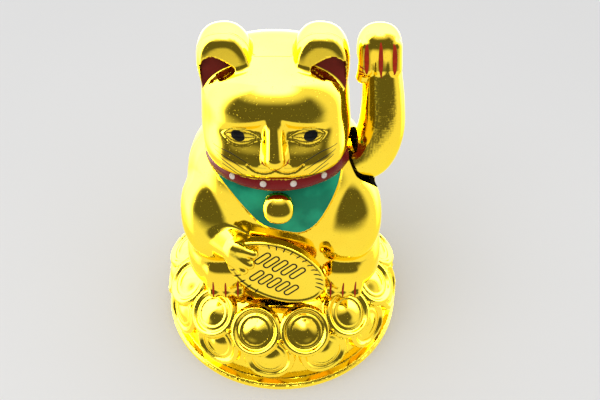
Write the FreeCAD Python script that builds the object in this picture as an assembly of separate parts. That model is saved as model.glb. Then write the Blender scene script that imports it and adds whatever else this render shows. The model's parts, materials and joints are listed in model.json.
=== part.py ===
import FreeCAD, Part

import math
import os

from FreeCAD import Matrix, Vector

# Waving lucky cat: a hollow metallised plastic cat on a round pedestal, with one raised arm
# that swings on a steel axle. A lever on the axle hangs down into the pedestal, where its
# magnet passes over a drive coil.
# Frame: origin under the middle of the pedestal, +Z up, the cat looks along -Y, and the
# raised arm is on the +X side. Millimetres.

# ---- driving dimensions ----
BASE_R = 47.0            # rim of the pedestal
RIM_H = 2.6              # height of the plain rim
DRUM_R = 45.5            # bulging wall of the pedestal
DRUM_Z = 9.0             # height of the widest part of the bulge
DRUM_H = 21.5            # rise of the bulge above DRUM_Z
DECK_Z = 28.0            # top face of the pedestal's deck
WALL = 2.0               # wall of the pedestal and of the cat's shells
ARM_WALL = 1.4           # wall of the raised arm
SEAM_Y = 3.0             # parting plane of the front and rear shells
LEAN = 0.035             # sideways lean of the cat on its pedestal, mm per mm
LEAN_X = 0.9             # sideways offset at LEAN_Z
LEAN_Z = 54.0
COIN_COUNT = 13          # coins embossed round the pedestal
COIN_R = 7.8
COIN_Z = 18.0
COIN_TILT = 28.0         # how far a coin looks up, degrees
COIN_STEP = 360.0 / COIN_COUNT

PIVOT_Z = 80.0           # height of the arm's axle, which lies along X at Y = 0
AXLE_R = 1.5
AXLE_FROM = 3.0
AXLE_TO = 37.5
RUNNING = 0.05           # radial clearance of the axle in the frame
ELBOW_X = 36.0
ELBOW_R = 7.8
ROOT_FROM = 24.0         # inner end of the arm's root
ROOT_R = 8.0
FOREARM = 36.0
WRIST_R = 6.5
PAW_REACH = 6.8          # from the wrist to the middle of the paw
ARM_BACK = 15.0          # backward tilt of the forearm at rest, degrees
SHOULDER_R = 11.0        # opening in the cat's side round the arm's root
LEVER_X = 12.0
MAGNET_TOP = 17.0
MAGNET_T = 4.0
WEIGHT_Z = (38.0, 46.0)  # counterweight on the lever, forward of it to balance the arm
WEIGHT_Y = (-9.6, -2.4)
COVER_Z = 0.8            # underside of the bottom cover
COVER_T = 2.0
COVER_R = 43.2
RECESS_R = 43.5
CELL_X = -18.0           # the AA cell lies along Y at this X
CELL_R = 7.25
BAY_W = 15.0
BAY_Y = (-27.0, 31.0)
BAY_TOP = 14.0
DOOR_T = 1.6
GAP = 0.3                # clearance round the battery door
BOARD_Z = 4.0
BOARD_T = 1.6
SCREW_R = 1.1
COVER_SCREWS = [(9.6, 35.7), (9.6, -35.7), (-37.0, 0.0)]
FRAME_SCREWS = [(1.0, 0.0), (22.5, 0.0)]
BODY_SCREWS = [(1.5, -19.5), (1.5, 26.5)]
BOARD_SCREWS = [(-2.0, 13.0), (26.0, 13.0)]

# routes of the two battery leads, from the contact tabs over the bay's wall to the board
RED_ROUTE = [(-12.0, BAY_Y[0] + 0.55, 15.0), (-5.0, BAY_Y[0] + 0.55, 15.0), (-3.0, -19.0, 14.0),
             (-2.0, -11.5, 12.0), (-2.0, -11.5, BOARD_Z + BOARD_T)]
BLACK_ROUTE = [(-12.0, BAY_Y[1] - 0.55, 15.0), (-4.0, BAY_Y[1] - 0.55, 15.0), (1.0, 22.0, 13.5),
               (3.0, 11.0, 12.0), (3.0, 11.0, BOARD_Z + BOARD_T)]

# torso outline: height, half width, front, back
TORSO = [(24, 34, -24, 30), (38, 36.6, -26, 33), (54, 37.4, -27, 33), (68, 35.8, -25.2, 31),
         (80, 33, -22.4, 27.6), (88, 29.4, -19.6, 24.6), (95, 20.5, -16.4, 20.4), (99, 17.6, -14, 18)]


def lean_x(z):
    """Sideways place of the cat's middle at height z."""
    return LEAN_X - LEAN * (z - LEAN_Z)


def box(x0, x1, y0, y1, z0, z1):
    return Part.makeBox(x1 - x0, y1 - y0, z1 - z0, Vector(x0, y0, z0))


def rod(radius, start, end):
    start = Vector(*start)
    run = Vector(*end) - start
    return Part.makeCylinder(radius, run.Length, start, run)


def taper(r0, r1, start, end):
    start = Vector(*start)
    run = Vector(*end) - start
    return Part.makeCone(r0, r1, run.Length, start, run)


def ball(radius, centre):
    return Part.makeSphere(radius, Vector(*centre))


def ellipsoid(centre, radii, axis=(1, 0, 0), turn=0.0):
    """A sphere stretched to three radii, turned about axis, then moved to centre."""
    stretch = Matrix()
    stretch.scale(*radii)
    shape = Part.makeSphere(1.0).transformGeometry(stretch)
    shape.rotate(Vector(0, 0, 0), Vector(*axis), turn)
    shape.translate(Vector(*centre))
    return shape


def join(shapes):
    """Fuse the shapes one after another."""
    whole = shapes[0]
    for shape in shapes[1:]:
        whole = whole.fuse(shape)
    return whole


def turned(profile):
    """A solid of revolution about Z from (radius, height) corners."""
    corners = [Vector(r, 0, z) for r, z in profile]
    face = Part.Face(Part.makePolygon(corners + corners[:1]))
    return face.revolve(Vector(0, 0, 0), Vector(0, 0, 1), 360)


def torso(shrink):
    rings = []
    for z, half, front, back in TORSO:
        centre = Vector(lean_x(z), (front + back) / 2, z)
        deep = (back - front) / 2 - shrink
        ring = Part.Ellipse(centre + Vector(half - shrink, 0, 0), centre + Vector(0, deep, 0), centre)
        rings.append(Part.Wire(ring.toShape()))
    return Part.makeLoft(rings, True)


def holding_arm(shrink):
    shoulder = (-26 + lean_x(72), -4, 72)
    elbow = (-26 + lean_x(56), -15, 56)
    wrist = (-14.5 + lean_x(60), -27, 60)
    return [rod(9.2 - shrink, shoulder, elbow), ball(9.2 - shrink, shoulder), ball(9.2 - shrink, elbow),
            taper(9.0 - shrink, 6.5 - shrink, elbow, wrist), ball(6.5 - shrink, wrist)]


def cat_lumps(shrink):
    """The cat's rounded masses, drawn in by shrink, for its skin or for its hollow."""
    lumps = [torso(shrink)]
    lumps.append(ellipsoid((lean_x(104.5), 4, 104.5), (26.4 - shrink, 27 - shrink, 19.6 - shrink)))
    lumps.append(ellipsoid((lean_x(97.5), -7.5, 97.5), (22.5 - shrink, 17.5 - shrink, 10 - shrink)))
    for side in (-1, 1):
        ear = (9.8 - shrink, 12.5 - shrink, 15.5 - shrink)
        lumps.append(ellipsoid((15.5 * side + lean_x(117), 5, 117), ear, (0, 1, 0), 6 * side))
        haunch = (13.3 - shrink, 17 - shrink, 17 - shrink)
        lumps.append(ellipsoid((24.5 * side + lean_x(42), -8, 42), haunch))
    return lumps + holding_arm(shrink)


def trim_lumps():
    """Solid details of the front: feet, collar, bell and the oval coin."""
    feet = [ellipsoid((19 * side + lean_x(33), -21, 33), (8, 8.5, 9)) for side in (-1, 1)]
    collar = Part.makeTorus(21.0, 3.2)
    collar.rotate(Vector(0, 0, 0), Vector(1, 0, 0), -4)
    collar.translate(Vector(lean_x(86), 2, 86.5))
    bell = ball(4.5, (lean_x(78), -22.0, 78))
    coin = ellipsoid((0, 0, 0), (19.0, 3.0, 11.9), (0, 1, 0), 28)
    coin.rotate(Vector(0, 0, 0), Vector(1, 0, 0), -17)
    coin.translate(Vector(-1, -30, 52))
    return feet + [collar, bell, coin]


def drum(inset):
    """The pedestal's bulge, drawn in by inset, down to below the ground."""
    steps = 12
    top = DECK_Z - inset
    points = [Vector(DRUM_R - inset, 0, DRUM_Z)]
    for i in range(1, steps):
        angle = math.radians(90.0 * i / steps)
        z = DRUM_Z + (DRUM_H - inset) * math.sin(angle) ** (2 / 3)
        if z >= top - 0.4:
            break
        points.append(Vector((DRUM_R - inset) * math.cos(angle) ** (2 / 3), 0, z))
    rise = (top - DRUM_Z) / (DRUM_H - inset)
    points.append(Vector((DRUM_R - inset) * (1 - rise ** 3) ** (1 / 3), 0, top))
    curve = Part.BSplineCurve()
    curve.interpolate(points)
    low = Vector(DRUM_R - inset, 0, -1)
    sides = [Part.makeLine(points[-1], Vector(0, 0, top)), Part.makeLine(Vector(0, 0, top), Vector(0, 0, -1)),
             Part.makeLine(Vector(0, 0, -1), low), Part.makeLine(low, points[0])]
    outline = Part.Wire(Part.__sortEdges__([curve.toShape()] + sides))
    return Part.Face(outline).revolve(Vector(0, 0, 0), Vector(0, 0, 1), 360)


def screws(places, z_seat, length, up, head_r=2.3, head_h=1.5):
    """Pan-head screws: the head's seat is at z_seat, and the shank goes up or down from it."""
    way = 1 if up else -1
    solids = []
    for x, y in places:
        head = rod(head_r, (x, y, z_seat), (x, y, z_seat - way * head_h))
        shank = rod(SCREW_R, (x, y, z_seat), (x, y, z_seat + way * length))
        slot = box(x - head_r, x + head_r, y - 0.3, y + 0.3, z_seat - way * head_h - 0.5, z_seat - way * head_h + 0.5)
        solids.append(head.fuse(shank).removeSplitter().cut(slot))
    return Part.makeCompound(solids)


def tube(points, radius, bend):
    """A wire of straight runs joined by tangent arcs of radius bend."""
    corners = [Vector(*p) for p in points]
    edges = []
    last = corners[0]
    for before, corner, after in zip(corners, corners[1:], corners[2:]):
        back = (before - corner).normalize()
        ahead = (after - corner).normalize()
        half = back.getAngle(ahead) / 2
        reach = bend / math.tan(half)
        middle = (back + ahead).normalize() * (bend / math.sin(half) - bend)
        start = corner + back * reach
        end = corner + ahead * reach
        edges.append(Part.makeLine(last, start))
        edges.append(Part.Arc(start, corner + middle, end).toShape())
        last = end
    edges.append(Part.makeLine(last, corners[-1]))
    path = Part.Wire(edges)
    section = Part.Wire(Part.Circle(corners[0], corners[1] - corners[0], radius).toShape())
    return path.makePipeShell([section], True, False)


# ---- pedestal ----
def coin_disc(number):
    """One embossed coin: a disc with a raised middle, looking outwards and up."""
    around = math.radians(-90 + COIN_STEP * (number + 0.5))
    tilt = math.radians(COIN_TILT)
    normal = Vector(math.cos(around) * math.cos(tilt), math.sin(around) * math.cos(tilt), math.sin(tilt))
    face = Vector(math.cos(around), math.sin(around), 0) * (DRUM_R - 1.9) + Vector(0, 0, COIN_Z)
    disc = Part.makeCylinder(COIN_R, 3.0, face - normal * 2.4, normal)
    rim = Part.makeTorus(COIN_R - 1.2, 1.0, face + normal * 0.6, normal)
    boss = Part.makeSphere(3.4, face - normal * 1.6)
    return disc.multiFuse([rim, boss])


def pedestal():
    rim = turned([(0, 0), (BASE_R - 0.6, 0), (BASE_R, 0.6), (BASE_R, RIM_H - 0.8), (BASE_R - 0.8, RIM_H), (0, RIM_H)])
    body = drum(0).fuse(rim)
    body = body.multiFuse([coin_disc(i) for i in range(COIN_COUNT)])
    body = body.cut(box(-60, 60, -60, 60, -10, 0))
    body = body.common(box(-BASE_R, BASE_R, -BASE_R, BASE_R, 0, DECK_Z))
    body = body.cut(drum(WALL))
    body = body.cut(Part.makeCylinder(RECESS_R, COVER_Z + COVER_T))
    bosses = []
    for x, y in COVER_SCREWS:
        boss = Part.makeCylinder(3.0, 24.0, Vector(x, y, COVER_Z + COVER_T)).common(drum(WALL / 2))
        bosses.append(boss)
    body = body.multiFuse(bosses)
    for x, y in COVER_SCREWS:
        body = body.cut(Part.makeCylinder(SCREW_R, 9.0, Vector(x, y, COVER_Z + COVER_T)))
    for x, y in FRAME_SCREWS + BODY_SCREWS:
        body = body.cut(Part.makeCylinder(SCREW_R, 10.0, Vector(x, y, DECK_Z - WALL - 1)))
    slot = box(LEVER_X - 3.5, LEVER_X + 3.5, -20.5, 20.5, DECK_Z - WALL - 2, DECK_Z + 2)
    return body.cut(slot)


# ---- the cat's two shells ----
def cat_shells():
    skin = join(cat_lumps(0) + trim_lumps())
    hollow = join(cat_lumps(WALL))
    low = box(-60, 60, -60, 60, -10, DECK_Z)
    skin = skin.cut(low).cut(drum(0))
    hollow = hollow.cut(low)
    shell = skin.cut(hollow)
    opening = Part.makeCylinder(SHOULDER_R, 30, Vector(20, 0, PIVOT_Z), Vector(1, 0, 0))
    shell = shell.cut(opening)
    front_boss = Part.makeCylinder(3.4, 16, Vector(*BODY_SCREWS[0], DECK_Z))
    rear_boss = Part.makeCylinder(3.4, 16, Vector(*BODY_SCREWS[1], DECK_Z))
    front = shell.common(box(-60, 60, -60, SEAM_Y, 0, 150)).fuse(front_boss.common(skin))
    rear = shell.common(box(-60, 60, SEAM_Y, 60, 0, 150)).fuse(rear_boss.common(skin))
    holes = [Part.makeCylinder(SCREW_R, 9, Vector(x, y, DECK_Z)) for x, y in BODY_SCREWS]
    return front.cut(holes[0]), rear.cut(holes[1])


# ---- the movement ----
def movement_frame():
    """Inverted U: two uprights with feet on the deck, joined above the axle."""
    sides = []
    for near, far, foot in ((-4.0, 7.5, (5.0, 7.5)), (16.5, 26.5, (16.5, 19.0))):
        sides.append(box(near, far, -7, 7, DECK_Z, DECK_Z + 2.5))
        sides.append(box(foot[0], foot[1], -5, 5, DECK_Z, PIVOT_Z + 8))
    sides.append(box(5.0, 19.0, -5, 5, PIVOT_Z + 5.5, PIVOT_Z + 8))
    frame = join(sides)
    frame = frame.cut(rod(AXLE_R + RUNNING, (0, 0, PIVOT_Z), (30, 0, PIVOT_Z)))
    for x, y in FRAME_SCREWS:
        frame = frame.cut(Part.makeCylinder(SCREW_R, 5, Vector(x, y, DECK_Z - 1)))
    return frame


def bottom_cover():
    top = COVER_Z + COVER_T
    plate = Part.makeCylinder(COVER_R, COVER_T, Vector(0, 0, COVER_Z))
    half = BAY_W / 2
    bay = box(CELL_X - half - 1.5, CELL_X + half + 1.5, BAY_Y[0] - 1.5, BAY_Y[1] + 1.5, COVER_Z, BAY_TOP)
    posts = [Part.makeCylinder(2.5, BOARD_Z - top, Vector(x, y, top)) for x, y in BOARD_SCREWS]
    pads = [box(-5, -1, -14, -10, top, BOARD_Z), box(26, 30, -14, -10, top, BOARD_Z)]
    cover = plate.multiFuse([bay.common(Part.makeCylinder(COVER_R, 30))] + posts + pads)
    cover = cover.cut(box(CELL_X - half, CELL_X + half, BAY_Y[0], BAY_Y[1], 0, BAY_TOP + 1))
    for x, y in COVER_SCREWS:
        cover = cover.cut(Part.makeCylinder(SCREW_R, 5, Vector(x, y, 0)))
        cover = cover.cut(Part.makeCylinder(2.6, 1.0, Vector(x, y, COVER_Z - 0.5)))
    for x, y in BOARD_SCREWS:
        cover = cover.cut(Part.makeCylinder(SCREW_R, 3, Vector(x, y, COVER_Z + 0.8)))
    return cover


def battery_door():
    half = BAY_W / 2 - GAP
    y0 = BAY_Y[0] + GAP + DOOR_T / 2
    y1 = BAY_Y[1] - GAP
    plate = box(CELL_X - half, CELL_X + half, y0, y1, COVER_Z, COVER_Z + DOOR_T)
    middle = COVER_Z + DOOR_T / 2
    knuckle = rod(DOOR_T / 2, (CELL_X - half, y0, middle), (CELL_X + half, y0, middle))
    door = plate.fuse(knuckle).removeSplitter()
    grip = rod(4.0, (CELL_X, y1 - 8, COVER_Z - 3.4), (CELL_X, y1 - 3, COVER_Z - 3.4))
    return door.cut(grip)


def aa_cell():
    z = COVER_Z + DOOR_T + 0.3 + CELL_R
    y0 = BAY_Y[0] + 0.8 + 1.3
    can = rod(CELL_R, (CELL_X, y0, z), (CELL_X, y0 + 49.2, z))
    nub = rod(2.75, (CELL_X, y0 - 1.3, z), (CELL_X, y0, z))
    return can.fuse(nub).removeSplitter()


def contact_plate():
    y = BAY_Y[0] + 0.3
    plate = box(CELL_X - 6, CELL_X + 6, y, y + 0.5, 4.0, BAY_TOP + 1.6)
    return plate


def contact_spring():
    """A plate with three turns of spring between it and the cell's flat end."""
    z = COVER_Z + DOOR_T + 0.3 + CELL_R
    cell_end = BAY_Y[0] + 0.8 + 1.3 + 49.2
    y = BAY_Y[1] - 0.8
    plate = box(CELL_X - 6, CELL_X + 6, y, y + 0.5, 4.0, BAY_TOP + 1.6)
    turns = []
    pitch = (y - cell_end) / 3
    for i in range(3):
        middle = Vector(CELL_X, cell_end + pitch * (i + 0.5), z)
        turns.append(Part.makeTorus(3.0 + i * 0.4, pitch / 2 + 0.1, middle, Vector(0, 1, 0)))
    spring = join([plate] + turns)
    return spring.common(box(-40, 0, cell_end, 40, 0, 30))


def circuit_board():
    board = box(-5, 31, -15, 15.5, BOARD_Z, BOARD_Z + BOARD_T)
    for x, y in BOARD_SCREWS:
        board = board.cut(Part.makeCylinder(SCREW_R, 5, Vector(x, y, BOARD_Z - 1)))
    return board


def coil_bobbin():
    z = BOARD_Z + BOARD_T
    spool = turned([(1.5, 0), (7.6, 0), (7.6, 1.0), (3.6, 1.0), (3.6, 5.0), (7.6, 5.0), (7.6, 6.0), (1.5, 6.0)])
    spool.translate(Vector(LEVER_X, 0, z))
    return spool


def drive_coil():
    z = BOARD_Z + BOARD_T
    winding = turned([(3.6, 1.0), (7.2, 1.0), (7.2, 5.0), (3.6, 5.0)])
    winding.translate(Vector(LEVER_X, 0, z))
    return winding


# ---- the swinging arm ----
def arm_way():
    back = math.radians(ARM_BACK)
    return Vector(-LEAN, math.sin(back), math.cos(back))


def arm_lumps(shrink):
    elbow = Vector(ELBOW_X, 0, PIVOT_Z)
    way = arm_way()
    wrist = elbow + way * FOREARM
    paw = elbow + way * (FOREARM + PAW_REACH) + Vector(0, -1.5, 0)
    root = taper(ROOT_R - shrink, ELBOW_R - shrink, (ROOT_FROM + shrink, 0, PIVOT_Z), tuple(elbow))
    bend = ball(ELBOW_R - shrink, tuple(elbow))
    limb = taper(ELBOW_R - 0.2 - shrink, WRIST_R - shrink, tuple(elbow), tuple(wrist))
    heel = ball(WRIST_R - shrink, tuple(wrist))
    palm = ellipsoid(tuple(paw), (6.9 - shrink, 7.5 - shrink, 9.0 - shrink), (1, 0, 0), -ARM_BACK)
    return join([root, bend, limb, heel, palm])


def arm_halves():
    hub = rod(3.5, (ROOT_FROM, 0, PIVOT_Z), (AXLE_TO + 1.5, 0, PIVOT_Z))
    shell = arm_lumps(0).cut(arm_lumps(ARM_WALL)).fuse(hub)
    shell = shell.cut(rod(AXLE_R, (ROOT_FROM - 5, 0, PIVOT_Z), (AXLE_TO, 0, PIVOT_Z)))
    half = box(0, 80, -40, 0, 40, 160)
    half.rotate(Vector(0, 0, PIVOT_Z), Vector(1, 0, 0), -ARM_BACK)
    return shell.common(half).removeSplitter(), shell.cut(half).removeSplitter()


def pendulum_lever():
    hub = rod(4.5, (LEVER_X - 2.8, 0, PIVOT_Z), (LEVER_X + 2.8, 0, PIVOT_Z))
    bar = box(LEVER_X - 1.5, LEVER_X + 1.5, -2.4, 2.4, MAGNET_TOP + 1.4, PIVOT_Z)
    foot = rod(5.0, (LEVER_X, 0, MAGNET_TOP), (LEVER_X, 0, MAGNET_TOP + 1.5))
    lever = join([hub, bar, foot])
    return lever.cut(rod(AXLE_R, (LEVER_X - 5, 0, PIVOT_Z), (LEVER_X + 5, 0, PIVOT_Z)))


def counterweight():
    return box(LEVER_X - 3, LEVER_X + 3, WEIGHT_Y[0], WEIGHT_Y[1], WEIGHT_Z[0], WEIGHT_Z[1])


def write_parts():
    front, rear = cat_shells()
    arm_front, arm_rear = arm_halves()
    parts = {
        "front_shell": front,
        "rear_shell": rear,
        "pedestal": pedestal(),
        "bottom_cover": bottom_cover(),
        "battery_door": battery_door(),
        "aa_cell": aa_cell(),
        "contact_plate": contact_plate(),
        "contact_spring": contact_spring(),
        "circuit_board": circuit_board(),
        "driver_chip": box(23, 28, -6, -2, BOARD_Z + BOARD_T, BOARD_Z + BOARD_T + 1.5),
        "capacitor": rod(2.5, (25.5, 5, BOARD_Z + BOARD_T), (25.5, 5, BOARD_Z + BOARD_T + 7)),
        "coil_bobbin": coil_bobbin(),
        "drive_coil": drive_coil(),
        "wire_red": tube(RED_ROUTE, 0.6, 2.5),
        "wire_black": tube(BLACK_ROUTE, 0.6, 2.5),
        "movement_frame": movement_frame(),
        "pivot_axle": rod(AXLE_R, (AXLE_FROM, 0, PIVOT_Z), (AXLE_TO, 0, PIVOT_Z)),
        "pendulum_lever": pendulum_lever(),
        "pendulum_magnet": rod(5.0, (LEVER_X, 0, MAGNET_TOP - MAGNET_T), (LEVER_X, 0, MAGNET_TOP)),
        "counterweight": counterweight(),
        "arm_front_half": arm_front,
        "arm_rear_half": arm_rear,
        "cover_screws": screws(COVER_SCREWS, COVER_Z + 0.5, 8.0, True, head_h=0.5),
        "frame_screws": screws(FRAME_SCREWS, DECK_Z + 2.5, 5.0, False),
        "body_screws": screws(BODY_SCREWS, DECK_Z - WALL, 9.0, True),
        "board_screws": screws(BOARD_SCREWS, BOARD_Z + BOARD_T, 3.6, False, 2.0, 1.2),
    }
    os.makedirs("parts", exist_ok=True)
    for name, shape in parts.items():
        shape.exportStep("parts/" + name + ".step")
        print(name, len(shape.Solids), round(shape.Volume / 1000, 3), shape.isValid())


write_parts()
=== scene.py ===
import json
import math

import bpy
import numpy as np
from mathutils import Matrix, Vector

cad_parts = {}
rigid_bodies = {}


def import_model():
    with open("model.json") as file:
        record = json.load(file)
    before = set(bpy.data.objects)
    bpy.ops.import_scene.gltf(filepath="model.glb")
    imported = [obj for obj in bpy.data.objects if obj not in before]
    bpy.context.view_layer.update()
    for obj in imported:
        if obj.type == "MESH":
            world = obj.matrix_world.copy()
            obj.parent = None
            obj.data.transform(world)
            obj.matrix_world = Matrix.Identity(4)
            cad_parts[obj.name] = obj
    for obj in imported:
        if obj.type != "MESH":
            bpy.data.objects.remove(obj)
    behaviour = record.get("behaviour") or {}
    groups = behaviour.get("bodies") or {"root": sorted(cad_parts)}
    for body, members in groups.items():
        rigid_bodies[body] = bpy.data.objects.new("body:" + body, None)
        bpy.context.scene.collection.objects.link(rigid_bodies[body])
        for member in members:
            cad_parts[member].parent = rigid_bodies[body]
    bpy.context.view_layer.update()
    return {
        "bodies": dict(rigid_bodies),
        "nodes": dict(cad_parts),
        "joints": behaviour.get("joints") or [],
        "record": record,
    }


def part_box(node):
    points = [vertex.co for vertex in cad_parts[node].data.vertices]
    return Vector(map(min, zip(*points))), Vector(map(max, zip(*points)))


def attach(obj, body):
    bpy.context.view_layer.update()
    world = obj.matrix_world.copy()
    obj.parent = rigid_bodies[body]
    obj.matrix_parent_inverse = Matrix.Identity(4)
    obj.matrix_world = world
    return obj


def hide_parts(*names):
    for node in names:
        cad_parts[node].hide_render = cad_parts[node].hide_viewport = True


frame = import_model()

# ---------------------------------------------------------------- solid shapes, in millimetres
def turn(axis, degrees):
    """Matrix that turns a point about one axis by the right-hand rule."""
    c, s = math.cos(math.radians(degrees)), math.sin(math.radians(degrees))
    if axis == "x":
        return np.array([[1, 0, 0], [0, c, -s], [0, s, c]])
    if axis == "y":
        return np.array([[c, 0, s], [0, 1, 0], [-s, 0, c]])
    return np.array([[c, -s, 0], [s, c, 0], [0, 0, 1]])


def oval(p, centre, radii, round_xy=2.0, round_z=None, frame=None):
    """Distance to a super-ellipsoid: its plan and its height may each be squarer than an ellipse."""
    q = p - np.asarray(centre, float)
    if frame is not None:
        q = q @ frame
    q = np.abs(q) + 1e-9
    n, m = round_xy, round_z or round_xy
    r = np.asarray(radii, float)
    a, b, c = q[..., 0] / r[0], q[..., 1] / r[1], q[..., 2] / r[2]
    plan = (a ** n + b ** n) ** (1 / n)
    g = (plan ** m + c ** m) ** (1 / m)
    side = (plan / g) ** (m - 1)
    gx = side * (a / plan) ** (n - 1) / r[0]
    gy = side * (b / plan) ** (n - 1) / r[1]
    gz = (c / g) ** (m - 1) / r[2]
    return (g - 1) / np.sqrt(gx * gx + gy * gy + gz * gz)


def merge(a, b, soft):
    """Union with a fillet of about the size soft."""
    h = np.clip(0.5 + 0.5 * (b - a) / soft, 0, 1)
    return b + (a - b) * h - soft * h * (1 - h)


def carve(a, b, soft):
    """Take b away from a, with the edge rounded by soft."""
    return -merge(-a, b, soft)


def limb(p, start, end, r0, r1):
    """Distance to a rounded, tapering limb."""
    start, end = np.asarray(start, float), np.asarray(end, float)
    way = end - start
    q = p - start
    t = np.clip((q @ way) / (way @ way), 0, 1)
    return np.linalg.norm(q - t[..., None] * way, axis=-1) - (r0 + (r1 - r0) * t)


def ring(p, centre, big, small, frame=None):
    """Distance to a torus: big is its middle radius and small its wire's."""
    q = p - np.asarray(centre, float)
    if frame is not None:
        q = q @ frame
    return np.hypot(np.hypot(q[..., 0], q[..., 1]) - big, q[..., 2]) - small


def step(low, high, t):
    """Smooth step from 0 at low to 1 at high."""
    s = np.clip((t - low) / (high - low), 0, 1)
    return s * s * (3 - 2 * s)


def bump(t, width):
    """A rounded ridge of height 1 and half width width."""
    s = np.clip(np.abs(t) / width, 0, 1)
    return (1 - s * s) ** 2


def path_distance(x, z, points, reach=4.0):
    """Distance in the front view to a line through points, no more than reach."""
    pts = np.asarray(points, float)
    best = np.full(x.shape, reach)
    near = ((x > pts[:, 0].min() - reach) & (x < pts[:, 0].max() + reach)
            & (z > pts[:, 1].min() - reach) & (z < pts[:, 1].max() + reach))
    px, pz = x[near], z[near]
    close = np.full(px.shape, reach)
    for (ax, az), (bx, bz) in zip(pts, pts[1:]):
        dx, dz = bx - ax, bz - az
        t = np.clip(((px - ax) * dx + (pz - az) * dz) / (dx * dx + dz * dz), 0, 1)
        close = np.minimum(close, np.hypot(px - ax - t * dx, pz - az - t * dz))
    best[near] = close
    return best


def smooth_path(points, steps=8):
    """Catmull-Rom curve through the points of an outline."""
    pts = [points[0]] + list(points) + [points[-1]]
    line = []
    for a, b, c, d in zip(pts, pts[1:], pts[2:], pts[3:]):
        for i in range(steps):
            t = i / steps
            line.append(tuple(0.5 * (2 * b[k] + (c[k] - a[k]) * t
                                     + (2 * a[k] - 5 * b[k] + 4 * c[k] - d[k]) * t * t
                                     + (3 * b[k] - a[k] - 3 * c[k] + d[k]) * t ** 3) for k in range(len(b))))
    return line + [tuple(points[-1])]


def inside(x, z, outline, reach=4.0):
    """Signed distance in the front view to a closed outline, negative inside, within reach."""
    pts = np.asarray(list(outline) + [outline[0]], float)
    d = path_distance(x, z, pts, reach)
    odd = np.zeros(x.shape, bool)
    near = ((x > pts[:, 0].min()) & (x < pts[:, 0].max()) & (z > pts[:, 1].min()) & (z < pts[:, 1].max()))
    px, pz = x[near], z[near]
    hits = np.zeros(px.shape, bool)
    for (ax, az), (bx, bz) in zip(pts, pts[1:]):
        if az != bz:
            hits ^= ((az > pz) != (bz > pz)) & (px < (bx - ax) * (pz - az) / (bz - az) + ax)
    odd[near] = hits
    return np.where(odd, -d, d)


# ---------------------------------------------------------------- the cat's shape
LEAN, LEAN_X, LEAN_Z = 0.035, 0.9, 54.0
SEAM_Y = 3.0


def leaning(z):
    """How far the cat's middle line lies from x = 0 at height z."""
    return LEAN_X - LEAN * (z - LEAN_Z)


def upright(p):
    """The point in the cat's own frame: the cat leans a little sideways on its pedestal."""
    q = p.copy()
    q[..., 0] -= leaning(p[..., 2])
    return q


def mirrored(q):
    """Both sides of the cat folded on to its left side."""
    m = q.copy()
    m[..., 0] = np.abs(m[..., 0])
    return m


def torso(q):
    """Trunk, with both upper arms and haunches bulging out of it."""
    m = mirrored(q)
    trunk = oval(q, (0, 3.5, 52), (35.6, 28.5, 44), 2.2, 3.0)
    upper_arm = oval(m, (22.8, -10.5, 62.5), (14.0, 13.0, 19), 2.2, 2.2, frame=turn("x", -24))
    haunch = oval(m, (22.5, -8, 41), (14.6, 17, 15), 2.3)
    return merge(merge(trunk, haunch, 1.2), upper_arm, 1.6)


def forearm(q):
    """The arm that holds the oval coin, with three fingers over the coin's edge."""
    arm = limb(q, (-24.5, -13.5, 59), (-15.5, -26.0, 60.0), 10.2, 6.2)
    for start, end in (((-16, -29, 63.5), (-9.5, -31.0, 62.3)), ((-16.5, -30, 60.4), (-11.0, -32.6, 58.4)),
                       ((-17.5, -29.5, 57.4), (-13.5, -32.6, 55.4))):
        arm = merge(arm, limb(q, start, end, 2.3, 1.8), 1.6)
    return arm


TOES = (17.4, 22.0, 26.6)


def foot(q):
    """Two feet, each with three toes."""
    m = mirrored(q)
    paw = oval(m, (22.0, -17.8, 39.5), (8.8, 9.2, 10.5), 3.0, 2.6)
    for x in TOES:
        paw = merge(paw, limb(m, (x, -23.5, 35.9), (x, -25.8, 34.3), 2.6, 2.4), 1.4)
    return paw


# outlines in the cat's front view: distance from its middle line, and height
EAR_HOLLOW = [(23.6, 110), (23.7, 118.5), (22.9, 124.2), (19.3, 125.8), (14.2, 123.6), (10.4, 120.2),
              (8.2, 116.3), (10, 111), (16, 107.5)]
EAR_HOLLOW = smooth_path(EAR_HOLLOW + EAR_HOLLOW[:1], 3)[:-1]
EAR_FRONT = np.array([0.0, -4.5, 117.0])
EAR_WAY = np.array([0.0, -math.cos(math.radians(15)), math.sin(math.radians(15))])
EYE = [(16.6, 106.2), (14.4, 107.6), (11.6, 108.3), (8.4, 108.1), (6.1, 107.4), (4.4, 106.3), (6.2, 106.0),
       (8.9, 105.0), (11.8, 104.6), (14.6, 104.9)]
EYE = smooth_path(EYE + EYE[:1], 3)[:-1]
MOUTH = [(9.0, 99.3), (6.5, 97.2), (4.0, 96.5), (1.8, 96.9), (0.0, 97.9)]


def face(q, d):
    """Sink the eye sockets and cheeks beside the nose and under the brow, and add eyes and mouth."""
    s, z = np.abs(q[..., 0]), q[..., 2]
    front = 1 - step(-6, -2, q[..., 1])
    brow = (113.4 - 0.25 * (s - 3.3) - z) * 0.97
    nose_side = np.maximum(s - (1.9 + 0.2 * (110.6 - z)), 100.6 - z)
    raised = merge(0.36 * brow, nose_side, 1.6)
    cheek = z - (97.4 + 0.36 * (s - 4))
    sunk = 1.5 * step(0.0, 1.6, raised) * (1 - step(12.5, 21.0, s)) * step(-3.0, 9.0, cheek)
    d = d + sunk * front
    nose = limb(q, (0, -15.4, 113.0), (0, -24.6, 101.8), 2.3, 3.4)
    d = merge(d, nose, 0.9)
    eye = inside(s, z, EYE)
    ball = 0.8 * (1 - step(-2.2, 0.3, eye)) + 0.22 * bump(eye - 0.2, 0.6)
    lips = path_distance(s, z, MOUTH)
    return d - ball * front + 0.55 * bump(lips, 0.7) * front


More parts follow.
